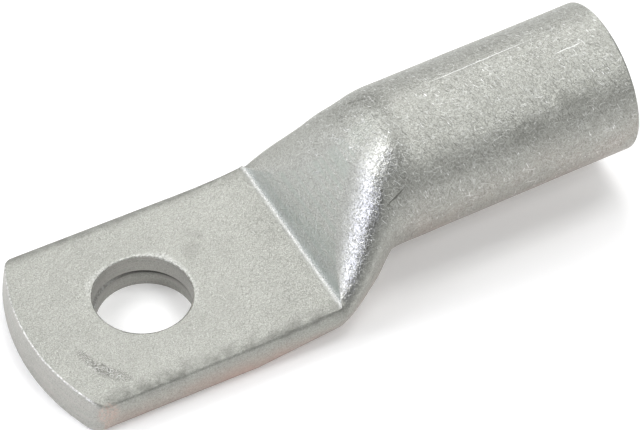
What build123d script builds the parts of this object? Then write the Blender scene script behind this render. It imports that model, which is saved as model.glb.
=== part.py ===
"""Copper cable lug, pressed from one length of tube.

One end of the tube stays round and takes the cable. The other is pressed flat into a palm of two
walls, with a hole for the stud. Between them the tube opens up a straight pressed ramp, rolls over
a rounded brow and closes on the full circle of the barrel.

The origin is on the stud hole's axis, in the plane of the palm's underside. X runs along the lug
to the barrel's mouth, Y across it and Z up. Lengths are in millimetres and angles in degrees.
"""

from build123d import *

import os
from math import cos, radians, sin, sqrt, tan

# The tube
barrel_diameter = 16.6
wall = 2.15

# Places along the lug, measured from the stud hole's axis
hole_to_tip = 13.5
hole_to_crease = 17.2
hole_to_mouth = 54.0

# The palm
stud_hole_diameter = 10.5
palm_width = 22.7
palm_edge_round = 0.85
palm_end_radius = 25.3
palm_end_lean = 7.0
end_upper_break = 0.15
end_lower_break = 0.5
hole_edge_break = 0.15

# The line in the stud hole's wall where the two pressed walls meet
seam_gap = 0.08
seam_depth = 0.12

# The stretch of palm beside the crease, where the folded sides swell before the ramp
root_length = 9.6
crease_width = 22.9
crease_top_fold = 0.3
crease_top_drop = 1.45
crease_bottom_fold = 3.8
root_steps = 2

# The pressed ramp and the brow over it
ramp_angle = 58.0
brow_radius = 10.0
ramp_steps = 4
facet_taper = 3

# The barrel sits a little above the palm's underside and rises towards its mouth
barrel_lift = 1.25
barrel_rise = 1.9
lift_start = 5.5
lift_length = 2.1
lift_steps = 2
throat_steps = 2

# The narrowest part of the tube, beside the brow
throat_width = 16.3
throat_place = 9.4

# The barrel's mouth
mouth_edge_break = 0.25
mouth_lead_in = 0.5

# How much narrower the hollow under the ramp is than the bore, on every side
hollow_squeeze = 0.4

# Half the angles of the short arcs at the top, the bottom and the sides of a round section
crown_angle = 4.0
side_angle = 1.0

palm_thickness = 2 * wall
barrel_radius = barrel_diameter / 2
bore_radius = barrel_radius - wall
upper_rim_radius = palm_end_radius - palm_thickness * tan(radians(palm_end_lean))
crease_x = hole_to_crease
root_x = crease_x - root_length
lift_x = crease_x + lift_start
lifted_x = lift_x + lift_length
throat_x = crease_x + throat_place
ramp = radians(ramp_angle)
rise = radians(barrel_rise)
crown_half_width = barrel_radius * sin(radians(crown_angle))
side_height = 2 * barrel_radius * sin(radians(side_angle))


def axis_height(x):
    """Height of the barrel's axis at x."""
    return barrel_lift + barrel_radius + (x - crease_x) * tan(rise)


# The ramp's line and the barrel's top line meet at a corner, which the brow rounds off
barrel_top_at_crease = axis_height(crease_x) + barrel_radius / cos(rise)
corner_x = crease_x + (barrel_top_at_crease - palm_thickness) / (tan(ramp) - tan(rise))
corner_z = palm_thickness + (corner_x - crease_x) * tan(ramp)
brow_tangent = brow_radius * tan((ramp - rise) / 2)
ramp_end_x = corner_x - brow_tangent * cos(ramp)
brow_end_x = corner_x + brow_tangent * cos(rise)
brow_end_z = corner_z + brow_tangent * sin(rise)
brow_centre_x = brow_end_x + brow_radius * sin(rise)
brow_centre_z = brow_end_z - brow_radius * cos(rise)

# The full circle of the barrel starts square to its axis, under the end of the brow
neck_x = brow_end_x + barrel_radius * sin(rise)
neck_plane = Plane(
    origin=(neck_x, 0, axis_height(neck_x)),
    x_dir=(0, 1, 0),
    z_dir=(cos(rise), 0, sin(rise)),
)
barrel_length = (hole_to_mouth - neck_x) / cos(rise)


def eased(share):
    """Share from 0 to 1, eased at both ends."""
    share = min(max(share, 0), 1)
    return share * share * (3 - 2 * share)


def mix(first, last, share):
    """Value at a share of the way from first to last."""
    return first + (last - first) * share


def top_height(x):
    """Height of the outer skin's top at x: up the ramp, then over the brow."""
    if x <= ramp_end_x:
        return palm_thickness + (x - crease_x) * tan(ramp)
    return brow_centre_z + sqrt(brow_radius**2 - (x - brow_centre_x) ** 2)


def underside_height(x):
    """Height of the outer underside at x: level with the palm, then up to the barrel."""
    barrel_underside = axis_height(x) - barrel_radius / cos(rise)
    return barrel_underside * eased((x - lift_x) / lift_length)


def half_width(x):
    """Half the outer width at x, from the crease through the throat to the barrel."""
    if x <= throat_x:
        return mix(crease_width, throat_width, eased((x - crease_x) / throat_place)) / 2
    recovery = eased((x - throat_x) / (brow_end_x - throat_x))
    return mix(throat_width, barrel_diameter, recovery) / 2


def folded_outline(x, width, top, underside, top_fold, upper, bottom_fold, lower):
    """Section of the flattened tube at x: flat above, below and at the sides, with a quarter
    ellipse at each corner. The sides are flat between the heights lower and upper, and the folds
    are measured across from them."""
    drop = top - upper
    climb = lower - underside
    with BuildSketch(Plane.YZ.offset(x)) as outline:
        with BuildLine():
            Line((top_fold - width, top), (width - top_fold, top))
            EllipticalCenterArc((width - top_fold, upper), top_fold, drop, 0, arc_size=90)
            Line((width, lower), (width, upper))
            EllipticalCenterArc((width - bottom_fold, lower), bottom_fold, climb, 270, arc_size=90)
            Line((bottom_fold - width, underside), (width - bottom_fold, underside))
            EllipticalCenterArc((bottom_fold - width, lower), bottom_fold, climb, 180, arc_size=90)
            Line((-width, lower), (-width, upper))
            EllipticalCenterArc((top_fold - width, upper), top_fold, drop, 90, arc_size=90)
        make_face()
    return outline.sketch


def root_section(x):
    """Outer outline of the palm at x, while its rounded edges turn into the folded sides."""
    share = (x - root_x) / root_length
    drop = mix(palm_edge_round, crease_top_drop, share)
    side = mix(palm_thickness - 2 * palm_edge_round, side_height, share)
    return folded_outline(
        x,
        width=mix(palm_width, crease_width, share) / 2,
        top=palm_thickness,
        underside=0,
        top_fold=mix(palm_edge_round, crease_top_fold, share),
        upper=palm_thickness - drop,
        bottom_fold=mix(palm_edge_round, crease_bottom_fold, share),
        lower=palm_thickness - drop - side,
    )


def ramp_section(x):
    """Outer outline of the lug at x, between the crease and the end of the brow. The flat facet
    narrows with a power of the way left to go, and the flat underside with its square root."""
    width = half_width(x)
    top = top_height(x)
    underside = underside_height(x)
    share = (x - crease_x) / (brow_end_x - crease_x)
    bottom_share = min((x - crease_x) / (lifted_x - crease_x), 1)
    top_flat = mix(crown_half_width, crease_width / 2 - crease_top_fold, (1 - share) ** facet_taper)
    bottom_flat = mix(
        crown_half_width, crease_width / 2 - crease_bottom_fold, sqrt(1 - bottom_share)
    )
    upper = top - (top - underside) * mix(crease_top_drop / palm_thickness, 1 / 2, share)
    return folded_outline(
        x,
        width=width,
        top=top,
        underside=underside,
        top_fold=width - top_flat,
        upper=upper,
        bottom_fold=width - bottom_flat,
        lower=upper - side_height,
    )


def round_section():
    """Circle at the neck in eight arcs, which match the flats and corners of a folded section."""
    flank = 90 - crown_angle - side_angle
    starts_and_sizes = (
        (90 - crown_angle, 2 * crown_angle),
        (side_angle, flank),
        (-side_angle, 2 * side_angle),
        (270 + crown_angle, flank),
        (270 - crown_angle, 2 * crown_angle),
        (180 + side_angle, flank),
        (180 - side_angle, 2 * side_angle),
        (90 + crown_angle, flank),
    )
    with BuildSketch(neck_plane) as outline:
        with BuildLine():
            for start, size in starts_and_sizes:
                EllipticalCenterArc((0, 0), barrel_radius, barrel_radius, start, arc_size=size)
        make_face()
    return outline.sketch


def stations(first, last, steps):
    """Places from first to last in equal steps, both ends included."""
    return [mix(first, last, i / steps) for i in range(steps + 1)]


root_sections = [root_section(x) for x in stations(root_x, crease_x, root_steps)]
ramp_sections = [ramp_section(x) for x in stations(crease_x, lift_x, ramp_steps)]
lift_sections = [ramp_section(x) for x in stations(lift_x, lifted_x, lift_steps)]
throat_sections = [ramp_section(x) for x in stations(lifted_x, brow_end_x, throat_steps)[:-1]]
throat_sections.append(round_section())

# Under the ramp, the inner face of its wall runs up from where it would meet the palm's seam
hollow_brow_radius = brow_radius - wall
hollow_ramp_x = brow_centre_x - hollow_brow_radius * sin(ramp)
hollow_ramp_z = brow_centre_z + hollow_brow_radius * cos(ramp)
hollow_start_x = hollow_ramp_x - (hollow_ramp_z - wall) / tan(ramp)
hollow_neck_x = brow_centre_x - hollow_brow_radius * sin(rise)
hollow_neck_z = brow_centre_z + hollow_brow_radius * cos(rise)

with BuildPart() as hollow:
    # The bore run on a little narrower, cut off one wall inside the ramp and the brow
    with BuildSketch(neck_plane):
        Circle(bore_radius - hollow_squeeze)
    extrude(amount=crease_x - neck_x)
    with BuildSketch(Plane.XZ):
        with BuildLine():
            Line((hollow_start_x, wall), (hollow_ramp_x, hollow_ramp_z))
            CenterArc(
                (brow_centre_x, brow_centre_z),
                hollow_brow_radius,
                90 + barrel_rise,
                ramp_angle - barrel_rise,
            )
            Line((hollow_neck_x, hollow_neck_z), (hole_to_mouth, hollow_neck_z))
            Line((hole_to_mouth, hollow_neck_z), (hole_to_mouth, wall))
            Line((hole_to_mouth, wall), (hollow_start_x, wall))
        make_face()
    extrude(amount=bore_radius, both=True, mode=Mode.INTERSECT)

with BuildPart() as sheared_disc:
    # Its rim is the palm's sheared end, which leans outwards underneath
    with BuildSketch(Plane.XZ):
        with BuildLine():
            Polyline(
                (0, 0),
                (palm_end_radius - end_lower_break, 0),
                (palm_end_radius, end_lower_break),
                (upper_rim_radius, palm_thickness - end_upper_break),
                (upper_rim_radius - end_upper_break, palm_thickness),
                (0, palm_thickness),
                close=True,
            )
        make_face()
    revolve(axis=Axis.Z)

with BuildPart() as lug:
    # Palm with rounded edges, cut off at its end by the sheared disc's rim
    with BuildSketch(Plane.YZ.offset(root_x)):
        with Locations((0, palm_thickness / 2)):
            RectangleRounded(palm_width, palm_thickness, palm_edge_round)
    extrude(amount=-(root_x + hole_to_tip))
    with Locations((palm_end_radius - hole_to_tip, 0)):
        add(sheared_disc.part, mode=Mode.INTERSECT)

    # Stud hole, punched through both walls
    with Locations((0, 0, palm_thickness)):
        Hole(stud_hole_diameter / 2, depth=palm_thickness)
    hole_edges = lug.edges().filter_by(GeomType.CIRCLE).filter_by(
        lambda edge: edge.radius == stud_hole_diameter / 2
    )
    chamfer(hole_edges, hole_edge_break)
    with BuildSketch(Plane.XY.offset(wall - seam_gap / 2)):
        Circle(stud_hole_diameter / 2 + seam_depth)
    extrude(amount=seam_gap, mode=Mode.SUBTRACT)

    # Swelling beside the crease, the pressed ramp, the lift of the underside and the throat
    loft(sections=root_sections)
    loft(sections=ramp_sections)
    loft(sections=lift_sections)
    loft(sections=throat_sections)

    # Round barrel up to its mouth
    with BuildSketch(neck_plane):
        Circle(barrel_radius)
    extrude(amount=barrel_length)
    mouth_edge = lug.faces().sort_by(Axis.X)[-1].edges()
    chamfer(mouth_edge, mouth_edge_break)

    # Bore, with the hollow that closes under the ramp
    with BuildSketch(neck_plane):
        Circle(bore_radius)
    extrude(amount=barrel_length, mode=Mode.SUBTRACT)
    bore_edge = lug.faces().sort_by(Axis.X)[-1].edges().sort_by(SortBy.RADIUS)[0]
    chamfer(bore_edge, mouth_lead_in)
    add(hollow.part, mode=Mode.SUBTRACT)

lug.part.label = "lug"
os.makedirs("parts", exist_ok=True)
export_step(lug.part, "parts/lug.step")
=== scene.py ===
"""Copper cable lug, tin plated, dressed over its CAD frame.

The lug is one pressed tube. Its whole skin is one surface: stations run from the palm's end to the
barrel's mouth, round the rim and back down the bore, and each station is a ring round the tube.
The stud hole is a second surface, let into the palm between the ring lines beside it.
"""

from math import cos, pi, radians, sin, tan

import bpy
import numpy as np
from bpy.props import FloatProperty, FloatVectorProperty, PointerProperty
from mathutils import Matrix, Vector


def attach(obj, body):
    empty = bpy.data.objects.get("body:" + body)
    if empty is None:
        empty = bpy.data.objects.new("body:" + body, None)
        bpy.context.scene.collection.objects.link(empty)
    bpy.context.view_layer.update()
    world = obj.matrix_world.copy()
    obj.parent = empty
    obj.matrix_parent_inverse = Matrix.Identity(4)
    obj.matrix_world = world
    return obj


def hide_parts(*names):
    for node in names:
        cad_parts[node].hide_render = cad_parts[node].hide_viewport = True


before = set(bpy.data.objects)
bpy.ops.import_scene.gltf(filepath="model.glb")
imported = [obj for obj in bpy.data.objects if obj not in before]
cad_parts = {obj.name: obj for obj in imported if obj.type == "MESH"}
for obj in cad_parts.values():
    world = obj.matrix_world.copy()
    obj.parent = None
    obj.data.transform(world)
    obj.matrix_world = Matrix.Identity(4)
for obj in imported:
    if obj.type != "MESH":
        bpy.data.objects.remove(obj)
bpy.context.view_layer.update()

bl_info = {
    "name": "Copper cable lug",
    "version": (1, 0, 0),
    "blender": (4, 5, 0),
    "location": "View3D > Sidebar > Lug",
    "description": "Makes a tin-plated copper tube lug and a plain studio round it",
    "category": "Add Mesh",
}


def mm(value):
    """Millimetres as metres."""
    return value / 1000


def colour(code):
    """Linear red, green and blue of an sRGB hex code such as b8bab2."""
    parts = [int(code[i : i + 2], 16) / 255 for i in (0, 2, 4)]
    return [c / 12.92 if c <= 0.04045 else ((c + 0.055) / 1.055) ** 2.4 for c in parts]


def length(name, default, description):
    """A length property with its default in millimetres."""
    return FloatProperty(
        name=name, description=description, default=mm(default), unit="LENGTH", precision=5, min=0
    )


def turn(name, default, description):
    """An angle property with its default in degrees."""
    return FloatProperty(
        name=name, description=description, default=radians(default), unit="ROTATION", precision=3
    )


def tint(name, code, description):
    """A colour property with its default as an sRGB hex code."""
    return FloatVectorProperty(
        name=name, description=description, default=colour(code), subtype="COLOR", min=0, max=1
    )


class LugSizes(bpy.types.PropertyGroup):
    """Sizes of the pressed tube."""

    barrel_diameter: length("Barrel diameter", 16.6, "Outside of the round barrel")
    wall: length("Wall", 2.15, "Thickness of the tube's wall")
    hole_to_tip: length("Hole to tip", 13.5, "From the stud hole's axis to the palm's end")
    hole_to_crease: length("Hole to crease", 17.2, "From the stud hole's axis to the ramp's foot")
    hole_to_mouth: length("Hole to mouth", 54.0, "From the stud hole's axis to the mouth's middle")
    stud_hole: length("Stud hole", 10.4, "Diameter of the stud hole")
    palm_width: length("Palm width", 22.7, "Across the palm")
    palm_edge_round: length("Palm edge", 0.85, "Radius along the palm's long edges")
    palm_top_roll: length("Palm top roll", 1.6, "Width of the soft roll down to that edge")
    palm_end_radius: length("Palm end", 25.3, "Radius of the palm's end, seen from above")
    palm_end_lean: turn("Palm end lean", 7.0, "How far the sheared end leans outwards below")
    end_upper_round: length("End upper edge", 0.16, "Radius of the sheared end's upper edge")
    end_lower_round: length("End lower edge", 0.55, "Radius of its rolled lower edge")
    end_corner_round: length("End corners", 0.8, "Radius of its two upright corners")
    root_length: length("Root length", 9.6, "Palm beside the crease, where its sides swell")
    crease_width: length("Crease width", 22.9, "Across the lug at the crease")
    crease_top_fold: length("Crease top fold", 0.3, "Width of the top corner at the crease")
    crease_top_drop: length("Crease top drop", 1.45, "Height of the top corner at the crease")
    crease_bottom_fold: length("Crease bottom fold", 3.8, "Width of the bottom corner there")
    ramp_angle: turn("Ramp angle", 58.0, "Slope of the pressed ramp")
    facet_taper: FloatProperty(
        name="Facet taper", description="Power of the way left with which the ramp's flat narrows",
        default=4.6, min=1, max=8,
    )
    brow_radius: length("Brow radius", 10.0, "Radius over the top of the ramp")
    barrel_lift: length("Barrel lift", 1.25, "Barrel's underside over the palm's, at the crease")
    barrel_rise: turn("Barrel rise", 1.9, "Slope of the barrel towards its mouth")
    lift_start: length("Lift start", 5.5, "From the crease to where the underside steps up")
    lift_length: length("Lift length", 2.1, "Length of that step")
    throat_width: length("Throat width", 16.3, "Across the narrowest part, beside the brow")
    throat_place: length("Throat place", 9.4, "From the crease to the throat")
    mouth_edge_round: length("Mouth edge", 0.25, "Radius of the mouth's outer edge")
    mouth_lead_in: length("Mouth lead-in", 0.5, "Width of the bevel inside the mouth")


class LugDetail(bpy.types.PropertyGroup):
    """Small detail of the pressed and punched surfaces."""

    hole_edge_round: length("Hole edge", 0.08, "Radius of the stud hole's rims")
    seam_gap: length("Seam gap", 0.16, "Height of the open line between the two walls")
    seam_depth: length("Seam depth", 0.35, "How deep that line goes into the hole's wall")
    wall_slip: length("Wall slip", 0.25, "How far the lower wall's hole lies towards the barrel")
    ripple: length("Ripple", 0.03, "Height of the soft waves that pressing leaves in the skin")


class LugFinish(bpy.types.PropertyGroup):
    """Colours of the tin plate, as light that falls straight on it comes back."""

    tin: tint("Tin", "babbb5", "The plate's usual colour")
    # On the palm's rolled edges this colour is painted shade, and on the near ridge part of a
    # painted glitter
    dull: tint("Dull tin", "8c8d87", "Its darker grains, and scuffs where it is rubbed")
    # Also painted highlights: the line in the crease, the glitter on the near ridge, and the stud
    # hole's rim and ledge
    bright: tint("Bright tin", "eeefee", "Fresh scratches and worn edges")
    pressed: tint("Pressed tin", "a3a8a1", "The smoother ramp, where the die lay")
    # On the palm's rolled edges this colour is painted shade, mottled by the dent grain
    grimy: tint("Grime", "71716c", "Dark pits, and grime rubbed into scuffs and rolled edges")
    # Painted shade: the darker greenish grey band on the ramp beside the crease
    shaded: tint("Foot of the ramp", "868e8a", "The greenish grey line that the die's edge left")
    sheared: tint("Sheared face", "b3afab", "The sheared end and the punched hole")
    # Also a pinkish tint that grows towards the bottom of the sides
    copper: tint("Thin plate", "c8aca1", "Where copper shows through thin plate")
    # Painted shadow: near black in the open line between the walls, fading down the lower wall
    # under it
    gap: tint("Gap", "2c2b2a", "The open line between the two walls")


class StudioSizes(bpy.types.PropertyGroup):
    """The plain studio and the camera."""

    azimuth: turn("Azimuth", -28.72, "Turn of the camera about the lug")
    elevation: turn("Elevation", 47.84, "Height of the camera over the horizon")
    roll: turn("Roll", -0.7455, "Turn of the camera about its own axis")
    distance: length("Distance", 404.73, "From the camera's plane to the stud hole")
    aim_right: length("Aim right", -18.21, "Stud hole to the right of the picture's middle")
    aim_down: length("Aim down", 11.07, "Stud hole under the picture's middle")
    lens: FloatProperty(
        name="Lens", description="Focal length on a 36 mm wide sensor", default=220.463, min=1
    )
    floor_size: length("Floor", 1600, "Side of the floor")
    floor_tint: tint("Floor tint", "ffffff", "Colour of the floor")


GROUPS = {
    "lug_sizes": LugSizes,
    "lug_detail": LugDetail,
    "lug_finish": LugFinish,
    "lug_studio": StudioSizes,
}

# Segments round half a ring: the flat of the top or bottom, each corner and half of each side
INNER_SEGMENTS = 28
OUTER_SEGMENTS = 6
CORNER_SEGMENTS = 22
SIDE_SEGMENTS = 3
FLAT_SEGMENTS = INNER_SEGMENTS + 2 * OUTER_SEGMENTS
HALF_RING = FLAT_SEGMENTS + 2 * CORNER_SEGMENTS + 2 * SIDE_SEGMENTS
RING = 2 * HALF_RING

# Half the side of the square of palm that the stud hole's surface replaces, the stations of the
# outer skin before it, and the rings of the end's round
HOLE_PATCH = mm(7.0)
PATCH_STATION = 15
END_ROUND_STEPS = 6

# A line of points this close to a rounded edge keeps the shading beside it flat
CLOSE_LINE = mm(0.04)

# Half widths at the crown and the sides where the round barrel still counts as flat
CROWN_HALF_WIDTH = mm(0.58)
SIDE_HALF_HEIGHT = mm(0.145)


def eased(t):
    """Share t from 0 to 1, eased at both ends: 3 t squared less 2 t cubed."""
    t = np.clip(t, 0, 1)
    return t * t * (3 - 2 * t)


def mix(first, last, t):
    """Value at a share t of the way from first to last."""
    return first + (last - first) * t


class Tube:
    """Side view and widths of the pressed tube, as functions of x along the lug."""

    def __init__(self, sizes):
        self.s = s = sizes
        self.radius = s.barrel_diameter / 2
        self.thickness = 2 * s.wall
        self.crease = s.hole_to_crease
        self.root = self.crease - s.root_length
        self.lift = self.crease + s.lift_start
        self.lifted = self.lift + s.lift_length
        self.throat = self.crease + s.throat_place
        self.slope = tan(s.ramp_angle)
        rise, ramp = s.barrel_rise, s.ramp_angle
        top = self.axis(self.crease) + self.radius / cos(rise)
        corner_x = self.crease + (top - self.thickness) / (self.slope - tan(rise))
        corner_z = self.thickness + (corner_x - self.crease) * self.slope
        tangent = s.brow_radius * tan((ramp - rise) / 2)
        self.ramp_end = corner_x - tangent * cos(ramp)
        self.brow_end = corner_x + tangent * cos(rise)
        self.brow_x = self.brow_end + s.brow_radius * sin(rise)
        self.brow_z = corner_z + tangent * sin(rise) - s.brow_radius * cos(rise)

    def axis(self, x):
        """Height of the barrel's axis at x."""
        return self.s.barrel_lift + self.radius + (x - self.crease) * tan(self.s.barrel_rise)

    def top(self, x, depth=0.0):
        """Height of the top wall at x, at a depth under its skin: the palm, the ramp's line with a
        hyperbola in the crease, the brow's arc and the barrel."""
        ramp, rise = self.s.ramp_angle, self.s.barrel_rise
        run = x - self.crease
        soft = mm(0.2)
        line = self.thickness + self.slope * (run + np.sqrt(run**2 + soft**2)) / 2
        line = line - depth * mix(1, 1 / cos(ramp), (run > 0) * 1.0)
        reach = (self.s.brow_radius - depth) ** 2 - (x - self.brow_x) ** 2
        brow = self.brow_z + np.sqrt(np.maximum(reach, 0))
        barrel = self.axis(x) + (self.radius - depth) / cos(rise)
        on_brow = x < self.brow_end + depth * sin(rise)
        on_ramp = x < self.ramp_end + depth * sin(ramp)
        return np.where(on_ramp, line, np.where(on_brow, brow, barrel))

    def underside(self, x):
        """Height of the skin's underside at x: flat, then an eased step up to the barrel."""
        barrel = self.axis(x) - self.radius / cos(self.s.barrel_rise)
        return barrel * eased((x - self.lift) / self.s.lift_length)

    def half_width(self, x):
        """Half the width at x: the palm, the swell to the crease, the throat and the barrel."""
        s = self.s
        palm = mix(s.palm_width, s.crease_width, np.clip((x - self.root) / s.root_length, 0, 1))
        neck = mix(s.crease_width, s.throat_width, eased((x - self.crease) / s.throat_place))
        open_up = eased((x - self.throat) / (self.brow_end - self.throat))
        wide = np.where(x < self.crease, palm, mix(neck, s.barrel_diameter, open_up))
        return wide / 2

    def folds(self, x):
        """At x: half widths of the top and bottom flats, and the heights between which the sides
        are flat. On the ramp the facet narrows with a power of the way left to the brow's end,
        and the underside with the square root of the way left to the end of its step."""
        s = self.s
        width, top, under = self.half_width(x), self.top(x), self.underside(x)
        swell = np.clip((x - self.root) / s.root_length, 0, 1)
        drop = mix(s.palm_edge_round, s.crease_top_drop, swell)
        palm_side = mix(self.thickness - 2 * s.palm_edge_round, 2 * SIDE_HALF_HEIGHT, swell)
        palm_top_flat = width - mix(s.palm_top_roll, s.crease_top_fold, swell)
        palm_low_flat = width - mix(s.palm_edge_round, s.crease_bottom_fold, swell)
        go = np.clip((x - self.crease) / (self.brow_end - self.crease), 0, 1)
        low_go = np.clip((x - self.crease) / (self.lifted - self.crease), 0, 1)
        wide = s.crease_width / 2
        ramp_top_flat = mix(CROWN_HALF_WIDTH, wide - s.crease_top_fold, (1 - go) ** s.facet_taper)
        ramp_low_flat = mix(CROWN_HALF_WIDTH, wide - s.crease_bottom_fold, np.sqrt(1 - low_go))
        ramp_drop = (top - under) * mix(s.crease_top_drop / self.thickness, 0.5, go)
        on_palm = x < self.crease
        top_flat = np.where(on_palm, palm_top_flat, ramp_top_flat)
        low_flat = np.where(on_palm, palm_low_flat, ramp_low_flat)
        upper = top - np.where(on_palm, drop, ramp_drop)
        lower = upper - np.where(on_palm, palm_side, 2 * SIDE_HALF_HEIGHT)
        return top_flat, low_flat, upper, lower

    def roundness(self, x):
        """0 while the section is folded, 1 where it is the barrel's circle."""
        return eased((x - self.lifted) / (self.brow_end - self.lifted))

    def ring(self, x):
        """Rings round the tube at stations x, as y and z arrays of a row for each station. From
        the left side over the top to the right side and back underneath, each half is a flat
        side, a quarter ellipse, a flat, a quarter ellipse and a flat side."""
        x = x[:, None]
        wide, top, under = self.half_width(x), self.top(x), self.underside(x)
        top_flat, low_flat, upper, lower = self.folds(x)
        middle = (upper + lower) / 2
        palm_flat = self.s.palm_width / 2 - self.s.palm_edge_round
        inner = HOLE_PATCH / palm_flat
        flat = np.concatenate([
            np.linspace(-1, -inner, OUTER_SEGMENTS, endpoint=False),
            np.linspace(-inner, inner, INNER_SEGMENTS, endpoint=False),
            np.linspace(inner, 1, OUTER_SEGMENTS + 1),
        ])[None]
        side = np.linspace(0, 1, SIDE_SEGMENTS, endpoint=False)[None]
        angle = np.linspace(0, pi / 2, CORNER_SEGMENTS, endpoint=False)[None]

        def half(flat_width, edge, skin):
            """One half ring, where edge is the height at which the sides stop being flat."""
            fold = wide - flat_width
            left_y = np.concatenate([-wide + 0 * side, -flat_width - fold * np.cos(angle)], 1)
            left_z = np.concatenate([mix(middle, edge, side), mix(edge, skin, np.sin(angle))], 1)
            y = np.concatenate([left_y, flat_width * flat, -left_y[:, ::-1]], 1)
            z = np.concatenate([left_z, skin + 0 * flat + 0 * x, left_z[:, ::-1]], 1)
            return y, z

        up_y, up_z = half(top_flat, upper, top)
        low_y, low_z = half(low_flat, lower, under)
        y = np.concatenate([up_y, low_y[:, -2:0:-1]], 1)
        z = np.concatenate([up_z, low_z[:, -2:0:-1]], 1)
        turned = np.arctan2(z - self.axis(x), y)
        circle_y = self.radius * np.cos(turned)
        circle_z = self.axis(x) + self.radius * np.sin(turned) / cos(self.s.barrel_rise)
        circular = self.roundness(x)
        return mix(y, circle_y, circular), mix(z, circle_z, circular)


def low_side(j):
    """Ring number of the point under the top's point j."""
    return (RING - j) % RING


def grid_faces(numbers, keep=None):
    """Quads of a grid of vertex numbers, or of those that keep marks."""
    quads = np.stack(
        [numbers[:-1, :-1], numbers[1:, :-1], numbers[1:, 1:], numbers[:-1, 1:]], -1
    )
    return quads.reshape(-1, 4) if keep is None else quads[keep]


def closing_faces(top, low, between):
    """Faces of a cap. Its rows run from the top half ring through the rows between to the low half
    ring, and all rows share the points at the two sides."""
    rows = [top]
    for row in between:
        rows.append(np.concatenate([top[:1], row, top[-1:]]))
    rows.append(low)
    numbers = np.stack(rows)
    quads = grid_faces(numbers[:, 1:-1])
    left = np.stack([numbers[:-1, 1], numbers[1:, 1], 0 * numbers[1:, 1] + top[0]], -1)
    right = np.stack([numbers[:-1, -2], 0 * numbers[1:, 1] + top[-1], numbers[1:, -2]], -1)
    left, right = left[:, [0, 2, 1]], right[:, [0, 2, 1]]
    # The rows meet in one point at each side, so the two end columns are fans of triangles
    return quads, np.concatenate([left, right])


def spread(stops, counts):
    """Stations between stops, with a count of equal steps in each gap."""
    parts = [
        np.linspace(a, b, n, endpoint=False) for a, b, n in zip(stops[:-1], stops[1:], counts)
    ]
    return np.concatenate([*parts, [stops[-1]]])


class Skin:
    """Points of the skin and the zone shares that they carry, kept block by block."""

    def __init__(self):
        self.points, self.zones, self.total = [], [], 0

    def add(self, block, **shares):
        """Keeps a block of points and returns their numbers in the block's own layout."""
        flat = block.reshape(-1, 3)
        numbers = np.arange(self.total, self.total + len(flat)).reshape(block.shape[:-1])
        self.total += len(flat)
        self.points.append(flat)
        row = np.zeros((len(flat), len(ZONES)))
        for name, value in shares.items():
            row[:, ZONES.index(name)] = np.broadcast_to(value, block.shape[:-1]).reshape(-1)
        self.zones.append(row)
        return numbers


def end_shape(tube, y, z):
    """How far the end stands back at y and z: the arc's sagitta and the lean's share of z."""
    arc = tube.s.palm_end_radius - np.sqrt(tube.s.palm_end_radius**2 - y**2)
    return arc + z * tan(tube.s.palm_end_lean)


def end_rounds(tube, y, z):
    """Round a ring: the radius of the end's edge above and below, the share of the way into the
    corner at the side, and the edge's radius with the corner's own mixed in by that share."""
    s = tube.s
    height_round = np.where(z > tube.thickness / 2, s.end_upper_round, s.end_lower_round)
    flat_width = s.palm_width / 2 - s.palm_edge_round
    to_side = np.clip((np.abs(y) - flat_width) / s.palm_edge_round, 0, 1)
    return height_round, to_side, mix(height_round, s.end_corner_round, to_side)


def outer_skin(tube, skin):
    """Outer skin between the end's round and the mouth's round, as rings at stations along x. Near
    the palm's end a station bends into the end's arc and leans with it, and on the barrel it
    turns square to the barrel's axis. Returns the rings' numbers and their y and z."""
    s = tube.s
    tip, mouth = -s.hole_to_tip, s.hole_to_mouth - s.mouth_edge_round
    crease_half, lift_margin = mm(0.5), mm(0.4)
    x = spread(
        [tip, tip + CLOSE_LINE, -HOLE_PATCH, HOLE_PATCH, tube.root, tube.crease - crease_half,
         tube.crease + crease_half, tube.lift - lift_margin, tube.lifted + lift_margin,
         tube.brow_end, mouth - CLOSE_LINE, mouth],
        [1, PATCH_STATION - 1, INNER_SEGMENTS, 2, 18, 12, 22, 14, 26, 44, 1],
    )
    y, z = tube.ring(x)
    along = x[:, None] + 0 * y
    bend = np.clip((-HOLE_PATCH - along) / (-HOLE_PATCH - tip), 0, 1)
    end_round = end_rounds(tube, y[0], z[0])[2]
    along = along + bend * (end_shape(tube, y, z) + end_round)
    square = tube.roundness(x)[:, None]
    along = along - square * (z - tube.axis(x)[:, None]) * tan(s.barrel_rise)
    block = np.stack([along, y, z], -1)
    return skin.add(block, **outer_zones(tube, x, block)), y, z


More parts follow.
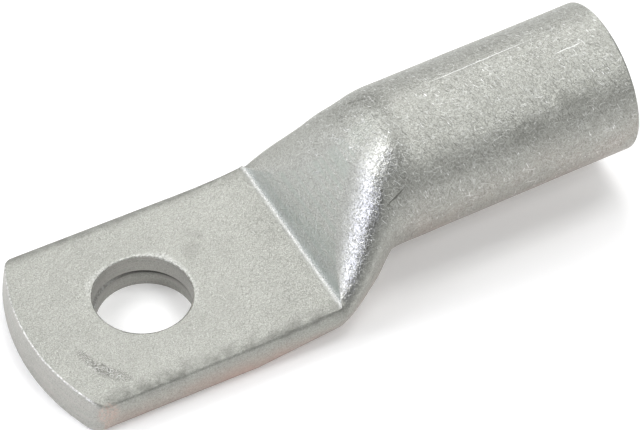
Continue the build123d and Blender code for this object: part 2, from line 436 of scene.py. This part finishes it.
def outer_zones(tube, x, block):
    """Zone shares of the outer skin, whose block has a row for each station x: the ramp's flat
    facet, which fades out over the brow, the line of the crease, which carries a painted highlight,
    the foot of the ramp, which carries painted shade, the low sides, the tumbled barrel, the palm's
    rolled edges, which carry painted shade, and the ridge beside the ramp, which carries a painted
    glittering highlight."""
    y, z = block[..., 1], block[..., 2]
    run = (x - tube.crease)[:, None]
    number = np.arange(RING)
    corner_end = SIDE_SEGMENTS + CORNER_SEGMENTS
    on_top = ((number >= corner_end) & (number <= HALF_RING - corner_end))[None]

    facet_start, facet_fade, facet_margin = mm(0.3), mm(6), mm(0.6)
    facet = eased(run / facet_start) * (1 - eased((x[:, None] - tube.ramp_end) / facet_fade))
    on_flat = np.abs(y) < np.abs(tube.folds(x[:, None])[0]) + facet_margin
    crease_place, crease_half = mm(0.05), mm(0.26)
    # Painted shade: a darker band on the ramp just past the crease, fading over some 0.9 mm
    foot_start, foot_place, foot_fade = mm(0.15), mm(0.2), mm(0.9)
    foot = np.exp(-np.maximum(run - foot_place, 0) / foot_fade) * (run > foot_start)
    under = tube.underside(x[:, None])
    high = (z - under) / (tube.top(x[:, None]) - under)
    tumbled_start, roll_end, ridge_start = mm(9), mm(2), mm(-1)
    tumbled = eased(run / tumbled_start)
    # Painted shade along the palm's rolled long edges, ending 2 mm past the crease
    roll = np.clip(1 - np.abs(edge_turn(y, z, tube) - 0.55) * 2.2, 0, 1)
    return {
        "facet": facet * on_top * on_flat,
        # Painted highlight: a bright broken line along the crease's concave round
        "crease": np.exp(-(((run - crease_place) / crease_half) ** 2)) * on_top,
        "foot": foot * on_top,
        "low": (1 - eased(high / 0.8)) * (1 - 0.55 * tumbled),
        "tumbled": tumbled,
        "roll": roll * (1 - eased(run / roll_end)),
        "ridge": ridge_share(block) * (run > ridge_start),
    # Painted glittering highlight on the near ridge
    }


def edge_turn(y, z, tube):
    """How far round the palm's rolled long edge a point is: 0 on top, 1 down the side."""
    start, way = tube.s.palm_width / 2 - mm(2.2), mm(3.8)
    return np.clip((np.abs(y) - start + tube.thickness - z) / way, 0, 1)


def ridge_share(rings):
    """How much each point of the rings belongs to the ridge on the near side of the ramp, which
    gets a painted glittering highlight and a lower roughness: 1 where the surface faces out to that
    side, up and back to the palm in near equal parts, falling to 0 some 23 degrees away."""
    round_it = np.roll(rings, -1, 1) - np.roll(rings, 1, 1)
    normal = np.cross(np.gradient(rings, axis=0), round_it)
    normal = normal / np.linalg.norm(normal, axis=-1, keepdims=True)
    facing = normal @ (-0.7, -0.42, 0.58)
    return eased((facing - 0.92) / 0.06)


def sheared_end(tube, skin, y, z):
    """Quarter round from the first ring, with its y and z, into the end's leaning face, and the
    face. The upper edge is ragged: its radius swings by half, as a sine of 1.7 mm that a sine of
    5.3 mm shakes. Returns the round's numbers and the face's quads and triangles."""
    s = tube.s
    height_round, to_side, end_round = end_rounds(tube, y, z)
    middle = tube.thickness / 2
    quarter = np.linspace(0, pi / 2, END_ROUND_STEPS + 1)[1:, None]
    inset = 1 - np.cos(quarter)
    ragged = 1 + 0.5 * np.sin(y * 2 * pi / mm(1.7) + 3 * np.sin(y * 2 * pi / mm(5.3)))
    rolled = height_round * np.where(z > middle, ragged, 1)
    edge_y = y * (1 - inset * s.end_corner_round / (s.palm_width / 2))
    edge_z = middle + (z - middle) * (1 - inset * rolled / middle)
    edge_x = -s.hole_to_tip + end_round * (1 - np.sin(quarter)) + end_shape(tube, edge_y, edge_z)
    worn = np.sin(quarter * 2) * (1 - to_side)
    edge = skin.add(np.stack([edge_x, edge_y, edge_z], -1), cut=1.0, edge=worn)

    half = np.arange(HALF_RING + 1)
    top_row, low_row = edge[-1, half], edge[-1, low_side(half)]
    # Rows down the face, with one close to each edge to keep its shading flat
    down = np.concatenate([[0.01], np.linspace(0, 1, 11)[1:-1], [0.99]])[:, None]
    inner = half[1:-1]
    face_y = mix(edge_y[-1, inner], edge_y[-1, low_side(inner)], down)
    face_z = mix(edge_z[-1, inner], edge_z[-1, low_side(inner)], down)
    face_x = -s.hole_to_tip + end_shape(tube, face_y, face_z)
    face = skin.add(np.stack([face_x, face_y, face_z], -1), cut=1.0)
    # The end looks the other way than the pinch, and so do its faces
    quads, tris = (block[:, ::-1] for block in closing_faces(top_row, low_row, face))
    return edge, quads, tris


def mouth_and_bore(tube, skin, angle):
    """Rim of the mouth, its flat, the lead-in and the bore: circles round the barrel's axis, of
    radius r at a way back along it, with their points at the angles. Returns their numbers."""
    s, rise = tube.s, tube.s.barrel_rise
    bore = tube.radius - s.wall
    quarter = np.linspace(0, pi / 2, 6)[1:]
    rim_r = tube.radius - s.mouth_edge_round * (1 - np.cos(quarter))
    rim_way = s.mouth_edge_round * (1 - np.sin(quarter))
    flat_r = np.linspace(rim_r[-1], bore + s.mouth_lead_in, 5)[1:]
    lead_r, lead_way = [bore + s.mouth_lead_in * 0.4, bore], [mm(0.3), s.mouth_lead_in]
    neck_way = (s.hole_to_mouth - tube.brow_end) / cos(rise)
    back = np.linspace(s.mouth_lead_in, neck_way, 24)[1:]
    r = np.concatenate([rim_r, flat_r, lead_r, bore + 0 * back])[:, None]
    way = np.concatenate([rim_way, 0 * flat_r, lead_way, back])[:, None]
    out = r * np.sin(angle)
    x = s.hole_to_mouth - way * cos(rise) - out * sin(rise)
    z = tube.axis(s.hole_to_mouth) - way * sin(rise) + out * cos(rise)
    dark_start, dark_fade, margin = mm(0.3), mm(1.5), mm(0.1)
    inside = eased((way - dark_start) / dark_fade) * (r < bore + margin)
    past_round = np.arange(len(r))[:, None] > 2
    cut = 1.0 * past_round * (way < s.mouth_lead_in * 1.5)
    return skin.add(np.stack([x, r * np.cos(angle), z], -1), cut=cut, inside=inside)


def hollow(tube, skin, angle):
    """Hollow behind the bore: ellipses one wall inside the outer skin, with their points at the
    angles, down to the pinch where the walls meet. Returns their numbers."""
    s, rise = tube.s, tube.s.barrel_rise
    bore = tube.radius - s.wall
    pinch = tube.crease + (mm(0.1) + s.wall / cos(s.ramp_angle) - s.wall) / tube.slope
    deep = np.linspace(tube.brow_end, pinch, 34)[1:, None]
    circular = tube.roundness(deep)
    high = mix(tube.top(deep, s.wall), tube.axis(deep) + bore / cos(rise), circular)
    low = mix(tube.underside(deep) + s.wall, tube.axis(deep) - bore / cos(rise), circular)
    y = mix(tube.half_width(deep) - s.wall, bore, circular) * np.cos(angle)
    z = (high + low) / 2 + (high - low) / 2 * np.sin(angle)
    x = deep - circular * (z - tube.axis(deep)) * tan(rise)
    return skin.add(np.stack([x, y, z], -1), inside=1.0)


def rim_height(level, reach, quarter):
    """Height of a rounded rim: level at a turn of a quarter, level plus reach at none."""
    return level + reach * (1 - np.sin(quarter))


def hole_profile(tube, detail):
    """Profile of the hole's wall from the top rim down: round the rim, down the upper wall, into
    the seam and out under it, on down the lower wall, whose first 0.24 mm is bevelled by 0.2 mm,
    and round the lower rim. Returns columns of radius, height, share of the lower wall's slip and
    share of painted shadow, which is full in the seam and fades down the lower wall's top, the
    count of rows on the top rim and the row at which the ledge starts."""
    hole, level = tube.s.stud_hole / 2, tube.s.wall
    edge_r = detail.hole_edge_round
    gap, depth = detail.seam_gap / 2, detail.seam_depth
    bevel_width, bevel_height, shade_fade = mm(0.2), mm(0.24), mm(0.3)
    quarter = np.linspace(0, pi / 2, 5)
    upper = np.linspace(tube.thickness - edge_r, level + gap, 5)
    lower = mix(level - gap - bevel_height, edge_r, np.linspace(0, 1, 9) ** 1.5)
    # Painted shade under the seam, fading down the lower wall over some 0.3 mm
    shaded = 0.8 * np.exp((lower - lower[0]) / shade_fade)
    rows = [
        (hole + edge_r * (1 - np.sin(quarter)), rim_height(tube.thickness, -edge_r, quarter), 0, 0),
        (hole + 0 * upper, upper, 0, 0),
        (np.array([hole + depth]), np.array([level + gap]), 0, 1),
        (np.array([hole + depth]), np.array([level - gap]), 1, 1),
        (np.array([hole + bevel_width]), np.array([level - gap]), 1, 1),
        (hole + 0 * lower, lower, 1, shaded),
        (hole + edge_r * (1 - np.cos(quarter)), rim_height(0, edge_r, pi / 2 - quarter), 1, 0),
    ]
    columns = [np.concatenate([0 * row[0] + row[k] for row in rows])[:, None] for k in range(4)]
    ledge_start = len(quarter) + len(upper) + 2
    return (*columns, len(quarter), ledge_start)


def stud_hole(tube, detail, skin, square):
    """Surface of the hole: from the square of skin on the palm's top in to the circle, down the
    wall's profile and out to the square below. Square gives the numbers of both squares' points,
    in order round the hole from the corner at low x and low y. Returns the surface's quads."""
    top_loop, low_loop = square
    corner = np.concatenate(skin.points)[top_loop][:, :2]
    count = len(corner)
    go_round = -3 * pi / 4 + 2 * pi * np.arange(count) / count
    circle = np.stack([np.cos(go_round), np.sin(go_round)], -1)
    wall_r, wall_z, slip, painted_seam_shade, rim_rows, ledge_start = hole_profile(tube, detail)
    wall_x = wall_r * circle[:, 0] + slip * detail.wall_slip
    wall = np.stack([wall_x, wall_r * circle[:, 1], wall_z + 0 * wall_x], -1)

    # Steps in to the circle, the last one close to the rim to keep the shading beside it flat
    inwards = np.append(np.linspace(0, 1, 9)[1:-1], 0.985)[:, None, None]
    top_disc = mix(corner[None], wall[:1, :, :2], inwards)
    low_disc = mix(corner[None], wall[-1:, :, :2], inwards)
    top_disc = np.concatenate([top_disc, tube.thickness + 0 * top_disc[..., :1]], -1)
    low_disc = np.concatenate([low_disc, 0 * low_disc[..., :1]], -1)

    # The rim gets a painted highlight, strongest on the side away from the sheared end's near
    # corner
    rubbed = np.clip(0.4 + circle @ (0.48, 0.88), 0, 1)
    row = np.arange(len(wall))[:, None]
    top_disc = skin.add(top_disc, edge=0.5 * rubbed * (inwards[..., 0] > 0.8))
    # Where the lower wall juts out its ledge gets a painted highlight, and where it stands back it
    # gets painted shadow
    juts = np.clip(-circle[:, 0] * 1.6, 0, 1)
    ledge = ((row == ledge_start) | (row == ledge_start + 1)) * juts
    stands_back = np.clip(0.5 + 0.8 * circle[:, 0], 0, 1)
    shadow = painted_seam_shade * mix(0.3, 1, stands_back) * (1 - ledge)
    # More painted shade on the wall's side towards the sheared end
    shadow = shadow + 0.25 * np.clip(-circle[:, 0], 0, 1)
    # Painted highlight on the top rim and on the jutting ledge
    bare = 1.0 * (row < rim_rows) * rubbed + ledge
    wall = skin.add(wall, cut=1.0, seam=np.clip(shadow, 0, 1), edge=bare)
    low_disc = skin.add(low_disc)
    rings = np.concatenate([top_loop[None], top_disc, wall, low_disc[::-1], low_loop[None]])
    rings = np.concatenate([rings, rings[:, :1]], 1)
    return grid_faces(rings)[:, ::-1]


def lug_skin(sizes, detail):
    """Points, quads, triangles and zone shares of the whole lug: the outer skin with the sheared
    end before it and the rim, the bore and the hollow behind it, all as rings of like count, and
    the stud hole's surface in place of a square of the palm's top and underside."""
    tube, skin = Tube(sizes), Skin()
    outer, y, z = outer_skin(tube, skin)
    edge, end_quads, end_tris = sheared_end(tube, skin, y[0], z[0])
    from_axis = z[-1] - tube.axis(sizes.hole_to_mouth - sizes.mouth_edge_round)
    angle = np.arctan2(from_axis * cos(sizes.barrel_rise), y[-1])[None]
    bore = mouth_and_bore(tube, skin, angle)
    rings = np.concatenate([edge[::-1], outer, bore, hollow(tube, skin, angle)])
    half = np.arange(HALF_RING + 1)
    pinch_quads, pinch_tris = closing_faces(rings[-1, half], rings[-1, low_side(half)], [])

    # Take out the square of skin round the stud hole, above and below
    first, across = len(edge) + PATCH_STATION, SIDE_SEGMENTS + CORNER_SEGMENTS + OUTER_SEGMENTS
    last, across_end = first + INNER_SEGMENTS, across + INNER_SEGMENTS
    keep = np.ones((len(rings) - 1, RING), bool)
    keep[first:last, across:across_end] = False
    keep[first:last, RING - across_end : RING - across] = False
    skin_quads = grid_faces(np.concatenate([rings, rings[:, :1]], 1), keep)

    i, j = np.arange(first, last), np.arange(across, across_end)
    loop_i = np.concatenate([i, last + 0 * j, i[::-1] + 1, first + 0 * j])
    loop_j = np.concatenate([across + 0 * i, j, across_end + 0 * i, j[::-1] + 1])
    square = rings[loop_i, loop_j], rings[loop_i, low_side(loop_j)]
    hole_quads = stud_hole(tube, detail, skin, square)

    points = np.concatenate(skin.points)
    points = points + pressed_waves(points, tube, detail.ripple)
    quads = np.concatenate([skin_quads, end_quads, pinch_quads, hole_quads])
    tris = np.concatenate([end_tris, pinch_tris])
    return points, quads, tris, np.concatenate(skin.zones)


def pressed_waves(points, tube, height):
    """Soft waves that the press and tumbling leave: three crossed sines of 7 to 19 mm, upright on
    the barrel and the ramp, and none on the flat palm, the hole and the rim."""
    x, y, z = points.T
    waves = np.sin(x * 2 * pi / mm(19) + 1.3) * np.sin(y * 2 * pi / mm(13) + 0.4)
    waves = waves + 0.6 * np.sin(x * 2 * pi / mm(7) + y * 2 * pi / mm(9) + 2.1)
    waves = waves + 0.5 * np.sin((x - z) * 2 * pi / mm(11) + 4.0)
    away = eased((x - tube.crease - mm(3)) / mm(4)) * (1 - eased((x - mm(50)) / mm(3)))
    out = z - tube.axis(x)
    far = np.sqrt(out**2 + y**2) + mm(0.001)
    size = -height * 0.5 * (1 + waves / 2.1) * away
    return np.stack([0 * x, size * y / far, size * out / far], -1)


# Shares from 0 to 1 that the mesh carries at its points, for the material
ZONES = (
    "facet", "foot", "crease", "ridge", "roll", "low", "tumbled", "cut", "edge", "inside", "seam",
)


def put_node(tree, kind, inputs, **settings):
    """Adds a node with its own settings. Inputs gives a value or another node's output for each
    socket, by its name or number."""
    node = tree.nodes.new(kind)
    for name, value in settings.items():
        setattr(node, name, value)
    for socket, value in inputs.items():
        if isinstance(value, bpy.types.NodeSocket):
            tree.links.new(value, node.inputs[socket])
        else:
            node.inputs[socket].default_value = value
    return node


def solid(value):
    """A colour property as red, green, blue and alpha."""
    return (*value, 1.0)


# Grain of the plate: name, width of a grain in mm, its length along a surface in mm, turn in
# degrees about X, Y and Z of the direction it is thin in, kind of noise, octaves, and the noise
# values that count as none and as all. Long grains are thin discs, so that they cut every surface
# in a stroke. Real tumbling marks are a few hundredths of a millimetre wide, and here they are as
# coarse as a pixel of the picture.
GRAINS = (
    ("speck", 0.13, 0.13, (0, 0, 0), "FBM", 2, 0.38, 0.64),
    ("spark", 0.15, 0.15, (0, 0, 0), "FBM", 1, 0.68, 0.76),
    ("pits", 0.2, 0.2, (9, 0, 0), "FBM", 1, 0.66, 0.74),
    ("grit", 0.3, 0.3, (0, 0, 0), "FBM", 2, 0.38, 0.64),
    ("dent", 1.3, 1.3, (0, 0, 0), "FBM", 2, 0.35, 0.65),
    ("cloud", 4.5, 4.5, (0, 0, 0), "FBM", 3, 0.42, 0.66),
    ("curl", 0.4, 0.4, (0, 0, 0), "RIDGED_MULTIFRACTAL", 0, 0.8, 0.97),
    ("worm", 0.6, 0.6, (40, 20, 0), "RIDGED_MULTIFRACTAL", 0, 0.86, 0.98),
    ("rub", 0.12, 0.8, (0, -10, 13), "FBM", 1, 0.695, 0.77),
    ("nick", 0.11, 1.2, (0, -18, 34), "FBM", 1, 0.73, 0.78),
    ("scrape", 0.14, 0.8, (0, -14, 24), "FBM", 1, 0.6, 0.72),
    ("scratch", 0.11, 2.4, (0, -37, 77), "FBM", 1, 0.71, 0.78),
    ("die_line", 0.25, 9.0, (0, 0, 0), "FBM", 2, 0.45, 0.65),
    ("shear_line", 0.16, 3.5, (0, 90, 0), "FBM", 2, 0.4, 0.65),
    ("flecks", 0.25, 0.25, (0, 0, 0), "FBM", 3, 0.4, 0.6),
)

# Single marks: place in mm, turn in degrees about Z, half length, half width and depth in mm,
# colour, strength, and the grain that fills them or none
MARKS = (
    ("scuff", (-7.3, -8.1, 4.3), 134, (2.3, 0.8, 1.5), "grimy", 0.75, "speck"),
    ("scuff's middle", (-8.1, -6.8, 4.3), 117, (1.6, 0.7, 1.5), "grimy", 0.85, "grit"),
    ("scuff's tail", (-8.8, -5.1, 4.3), 105, (1.6, 0.65, 1.5), "grimy", 0.7, "speck"),
    ("scuff's shine", (-7.9, -7.2, 4.3), 125, (2.8, 0.6, 1.5), "bright", 0.45, "curl"),
    ("rubbed patch", (7.6, 3.6, 4.3), 60, (3.2, 1.5, 1.5), "dull", 0.4, "dent"),
    ("worn patch", (41.0, -6.9, 14.9), 0, (2.2, 1.6, 1.6), "dull", 0.6, "grit"),
    ("worn patch by the mouth", (47.5, -5.6, 16.4), 0, (3.2, 1.6, 2.0), "dull", 0.6, "dent"),
    ("nick by the ridge", (25.4, -7.2, 13.2), 10, (1.3, 0.07, 2.5), "grimy", 0.9, None),
    ("rub on the far ridge", (26.6, 3.8, 16.6), -46, (2.0, 0.15, 2.5), "grimy", 0.7, "grit"),
    ("long scratch", (39.8, 1.25, 18.4), 0.9, (6.9, 0.05, 2.5), "bright", 0.8, None),
    ("short scratch", (48.9, -1.58, 18.9), 1.8, (1.9, 0.05, 2.5), "bright", 0.8, None),
    ("bare corner", (-9.4, -11.2, 2.6), 0, (1.4, 0.9, 1.6), "copper", 0.5, "flecks"),
)

# Layers of colour over the plain plate: grain or none, zone or grain that limits it or none,
# colour and strength
LAYERS = (
    ("speck", None, "dull", 0.65),
    ("grit", None, "dull", 0.25),
    ("curl", None, "dull", 0.2),
    ("cloud", None, "dull", 0.14),
    ("spark", "dent", "bright", 0.6),
    ("pits", "dent", "grimy", 0.5),
    ("dent", "tumbled", "dull", 0.2),
    ("curl", "tumbled", "dull", 0.5),
    ("worm", "tumbled", "bright", 0.26),
    ("scrape", "tumbled", "grimy", 0.5),
    ("rub", "tumbled", "bright", 0.9),
    ("nick", "tumbled", "bright", 0.9),
    ("scratch", "tumbled", "bright", 0.5),
    ("die_line", "facet", "pressed", 0.8),
    # Painted shade at the foot of the ramp
    (None, "foot", "shaded", 0.6),
    # Painted shade along the palm's rolled edges, mottled darker with the dent grain
    (None, "roll", "dull", 0.3),
    ("dent", "roll", "grimy", 0.6),
    # A pinkish tint that grows towards the bottom of the sides, clouded
    (None, "low", "copper", 0.35),
    ("cloud", "low", "copper", 0.5),
    ("shear_line", "cut", "sheared", 0.8),
    # Bright flecks: wear on the sheared end's edge, and a painted highlight on the stud hole's rim
    # and ledge
    ("flecks", "edge", "bright", 0.8),
    # Painted highlight along the crease
    ("speck", "crease", "bright", 0.75),
    # Painted highlight on the near ridge: a glitter of dark and bright grains
    ("speck", "ridge", "dull", 0.7),
    ("flecks", "ridge", "bright", 0.5),
    # Darker inside the bore from 0.3 mm in, fully by 1.8 mm, and all through the hollow
    (None, "inside", "dull", 0.4),
    # Painted shadow in and under the seam
    (None, "seam", "gap", 0.9),
)

# Relief of the grains in mm, upwards where it is more than nought
RELIEF = (
    ("speck", 0.005),
    ("grit", 0.008),
    ("dent", 0.02),
    ("rub", -0.006),
    ("scrape", 0.006),
    ("nick", -0.008),
    ("curl", -0.008),
    ("worm", 0.01),
    ("pits", -0.006),
)


# Number of the noise node's Offset, which its name doesn't find on the kinds that hide it
OFFSET = 6

# The plate's roughness, and the smoother one of the ramp, whose grain the die has closed a little,
# and of the ridges beside it, which rubbing has polished
PLAIN_ROUGHNESS = 0.5
ZONE_ROUGHNESS = (("facet", 0.42), ("ridge", 0.33))

# Single marks have ragged outlines: noise of this size shakes them by up to this much, in mm
RAGGED_SIZE = 0.6
RAGGED_SHAKE = 0.2


def tumbled_tin_plate(finish):
    """Electro-tinned copper, tumbled matt in the barrel plater with other parts.

    To the eye it is a pale, slightly warm silver grey with a fine speckle, short bright and dark
    rub marks every way on the barrel, soft duller patches of some millimetres, and no sharp
    reflections. The die leaves the ramp smoother, and sheared faces have streaks along them."""
    material = bpy.data.materials.new("tumbled_tin_plate")
    material.use_nodes = True
    tree = material.node_tree
    tree.nodes.clear()
    place = put_node(tree, "ShaderNodeTexCoord", {}).outputs["Object"]
    zones = {
        zone: put_node(tree, "ShaderNodeAttribute", {}, attribute_name=zone).outputs["Fac"]
        for zone in ZONES
    }

    grains = {None: 1.0}
    for name, width, long, turned, kind, octaves, none, full in GRAINS:
        laid = put_node(
            tree, "ShaderNodeMapping",
            {"Vector": place, "Rotation": [radians(a) for a in turned],
             "Scale": (1, long / width, long / width)},
            vector_type="TEXTURE",
        )
        noise = put_node(
            tree, "ShaderNodeTexNoise",
            {"Vector": laid.outputs[0], "Scale": 1 / mm(width), "Detail": octaves, OFFSET: 1.0},
            noise_type=kind,
        )
        grains[name] = put_node(
            tree, "ShaderNodeMapRange",
            {"Value": noise.outputs["Fac"], "From Min": none, "From Max": full},
        ).outputs["Result"]

    limits = {**zones, **grains}
    shade = solid(finish.tin)
    for grain, limit, coat, strength in LAYERS:
        amount = put_node(
            tree, "ShaderNodeMath", {0: grains[grain], 1: strength}, operation="MULTIPLY"
        ).outputs[0]
        if limit:
            amount = put_node(
                tree, "ShaderNodeMath", {0: amount, 1: limits[limit]}, operation="MULTIPLY"
            ).outputs[0]
        # Sockets 6 and 7 of a colour mix are its two colours, and its output 2 is the colour
        shade = put_node(
            tree, "ShaderNodeMix", {0: amount, 6: shade, 7: solid(getattr(finish, coat))},
            data_type="RGBA",
        ).outputs[2]

    # Single marks are ellipsoids, moved by the mean of the shake so that they stay in place
    ragged = put_node(
        tree, "ShaderNodeTexNoise", {"Vector": place, "Scale": 1 / mm(RAGGED_SIZE), "Detail": 3}
    ).outputs["Color"]
    shaken = put_node(
        tree, "ShaderNodeVectorMath", {0: ragged, 1: [mm(RAGGED_SHAKE)] * 3, 2: place},
        operation="MULTIPLY_ADD",
    ).outputs[0]
    for name, middle, turned, reach, coat, strength, grain in MARKS:
        inside = put_node(
            tree, "ShaderNodeMapping",
            {"Vector": shaken, "Location": [mm(v) + mm(RAGGED_SHAKE) / 2 for v in middle],
             "Rotation": (0, 0, radians(turned)), "Scale": [mm(v) for v in reach]},
            vector_type="TEXTURE", label=name,
        ).outputs[0]
        core = put_node(
            tree, "ShaderNodeTexGradient", {"Vector": inside}, gradient_type="SPHERICAL"
        ).outputs["Fac"]
        filled = put_node(
            tree, "ShaderNodeMapRange", {"Value": core, "From Max": 0.3, "To Max": strength}
        ).outputs["Result"]
        amount = put_node(
            tree, "ShaderNodeMath", {0: filled, 1: grains[grain]}, operation="MULTIPLY"
        ).outputs[0]
        shade = put_node(
            tree, "ShaderNodeMix", {0: amount, 6: shade, 7: solid(getattr(finish, coat))},
            data_type="RGBA",
        ).outputs[2]

    height = 0.0
    for grain, rise in RELIEF:
        height = put_node(
            tree, "ShaderNodeMath", {0: grains[grain], 1: rise, 2: height},
            operation="MULTIPLY_ADD",
        ).outputs[0]
    bump = put_node(tree, "ShaderNodeBump", {"Height": height, "Distance": mm(1)})

    rough = PLAIN_ROUGHNESS
    for zone, value in ZONE_ROUGHNESS:
        rough = put_node(
            tree, "ShaderNodeMix", {0: zones[zone], 2: rough, 3: value}, data_type="FLOAT"
        ).outputs[0]
    metal = put_node(
        tree, "ShaderNodeBsdfPrincipled",
        {"Base Color": shade, "Roughness": rough,
         "Normal": bump.outputs["Normal"], "Metallic": 1.0},
    )
    put_node(tree, "ShaderNodeOutputMaterial", {"Surface": metal.outputs[0]})
    return material


def make_mesh(name, points, quads, tris, zones):
    """A mesh of the points and faces, smooth but for edges over 40 degrees, with its zones."""
    mesh = bpy.data.meshes.new(name)
    mesh.from_pydata(points, [], quads.tolist() + tris.tolist())
    for number, zone in enumerate(ZONES):
        layer = mesh.attributes.new(zone, "FLOAT", "POINT")
        layer.data.foreach_set("value", zones[:, number].astype(np.float32))
    mesh.polygons.foreach_set("use_smooth", np.ones(len(mesh.polygons), bool))
    mesh.set_sharp_from_angle(angle=radians(40))
    mesh.validate()
    mesh.update()
    return mesh


class LUG_OT_body(bpy.types.Operator):
    """Makes the pressed, punched and plated tube"""

    bl_idname = "lug.body"
    bl_label = "Lug body"

    def execute(self, context):
        scene = context.scene
        points, quads, tris, zones = lug_skin(scene.lug_sizes, scene.lug_detail)
        mesh = make_mesh("lug_body", points, quads, tris, zones)
        body = bpy.data.objects.new("lug_body", mesh)
        scene.collection.objects.link(body)
        mesh.materials.append(tumbled_tin_plate(scene.lug_finish))
        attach(body, "root")
        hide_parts("lug")
        return {"FINISHED"}


# How much the floor and the air glow of their own, so that shadows stay faint
FLOOR_GLOW = 0.1
AIR_GLOW = 0.19

# Soft boxes: name, place in metres, width and height, power in watts, colour
LIGHTS = (
    ("overhead_front", (0.32, -0.58, 0.75), (0.3, 0.5), 3.15, (1, 1, 1)),
    ("overhead", (0.32, 0, 0.95), (0.3, 0.5), 2.5, (1, 1, 1)),
    ("overhead_back", (0.32, 0.56, 0.77), (0.3, 0.5), 2.4, (1, 1, 1)),
    ("left_high", (-0.62, 0.31, 0.72), (0.6, 0.6), 5.2, (1, 1, 1)),
    ("left", (-0.95, 0.08, 0.27), (0.35, 0.35), 1.6, (0.77, 0.78, 1)),
    ("backdrop", (0, 1.0, 0.22), (1.2, 0.4), 1.0, (1, 1, 1)),
    ("left_back", (-0.81, 0.55, 0.2), (0.6, 0.6), 1.3, (1, 1, 1)),
    ("back_right", (0.7, 0.65, 0.3), (0.6, 0.6), 1.9, (1, 1, 1)),
)


class LUG_OT_studio(bpy.types.Operator):
    """Makes the plain floor, the soft lights and the camera"""

    bl_idname = "lug.studio"
    bl_label = "Studio"

    def execute(self, context):
        scene = context.scene
        studio = scene.lug_studio
        half = studio.floor_size / 2
        mesh = bpy.data.meshes.new("floor")
        corners = [(-half, -half, 0), (half, -half, 0), (half, half, 0), (-half, half, 0)]
        mesh.from_pydata(corners, [], [(0, 1, 2, 3)])
        floor = bpy.data.objects.new("floor", mesh)
        scene.collection.objects.link(floor)
        # White light-table sheet: matt, and lit through, so that shadows on it stay faint
        sheet = bpy.data.materials.new("white_light_table_sheet")
        sheet.use_nodes = True
        tree = sheet.node_tree
        tree.nodes.clear()
        white = put_node(
            tree, "ShaderNodeBsdfPrincipled",
            {"Base Color": solid(studio.floor_tint), "Roughness": 0.9,
             "Emission Color": (1, 1, 1, 1), "Emission Strength": FLOOR_GLOW},
        )
        put_node(tree, "ShaderNodeOutputMaterial", {"Surface": white.outputs[0]})
        mesh.materials.append(sheet)

        world = bpy.data.worlds.new("studio_air")
        world.use_nodes = True
        air = world.node_tree.nodes["Background"].inputs
        air["Color"].default_value = (1, 1, 1, 1)
        air["Strength"].default_value = AIR_GLOW
        scene.world = world
        scene.view_settings.view_transform = "Standard"
        for name, place, size, power, tone in LIGHTS:
            light = bpy.data.lights.new(name, "AREA")
            light.shape = "RECTANGLE"
            light.size, light.size_y = size
            light.energy = power
            light.color = tone
            lamp = bpy.data.objects.new(name, light)
            lamp.location = place
            lamp.rotation_euler = (-Vector(place)).to_track_quat("-Z", "Y").to_euler()
            scene.collection.objects.link(lamp)

        azimuth, elevation = studio.azimuth, studio.elevation
        out = cos(elevation)
        back = Vector((sin(azimuth) * out, -cos(azimuth) * out, sin(elevation)))
        level = Vector((cos(azimuth), sin(azimuth), 0))
        drop = (-back).cross(level)
        right = level * cos(studio.roll) + drop * sin(studio.roll)
        down = drop * cos(studio.roll) - level * sin(studio.roll)
        aim = right * studio.aim_right + down * studio.aim_down - back * studio.distance
        view = Matrix((right, -down, back)).transposed()
        data = bpy.data.cameras.new("camera")
        data.lens = studio.lens
        data.sensor_width = 36
        data.clip_start, data.clip_end = mm(10), 10
        camera = bpy.data.objects.new("camera", data)
        camera.matrix_world = Matrix.Translation(-aim) @ view.to_4x4()
        scene.collection.objects.link(camera)
        scene.camera = camera
        return {"FINISHED"}


class LUG_PT_panel(bpy.types.Panel):
    """Lists the lug's sizes and pieces"""

    bl_idname = "LUG_PT_panel"
    bl_label = "Cable lug"
    bl_space_type = "VIEW_3D"
    bl_region_type = "UI"
    bl_category = "Lug"

    def draw(self, context):
        for group in GROUPS:
            box = self.layout.box()
            values = getattr(context.scene, group)
            for name in values.bl_rna.properties.keys():
                if name not in ("rna_type", "name"):
                    box.prop(values, name)
        for operator in (LUG_OT_body, LUG_OT_studio):
            self.layout.operator(operator.bl_idname)


CLASSES = (*GROUPS.values(), LUG_OT_body, LUG_OT_studio, LUG_PT_panel)


def register():
    """Registers the classes and hangs the sizes and colours on the scene."""
    for made in CLASSES:
        bpy.utils.register_class(made)
    for name, group in GROUPS.items():
        setattr(bpy.types.Scene, name, PointerProperty(type=group))


def unregister():
    """Takes all of it off again."""
    for name in GROUPS:
        delattr(bpy.types.Scene, name)
    for made in reversed(CLASSES):
        bpy.utils.unregister_class(made)


def main():
    """Makes the lug and its studio."""
    register()
    bpy.ops.lug.body()
    bpy.ops.lug.studio()


if __name__ == "__main__":
    main()
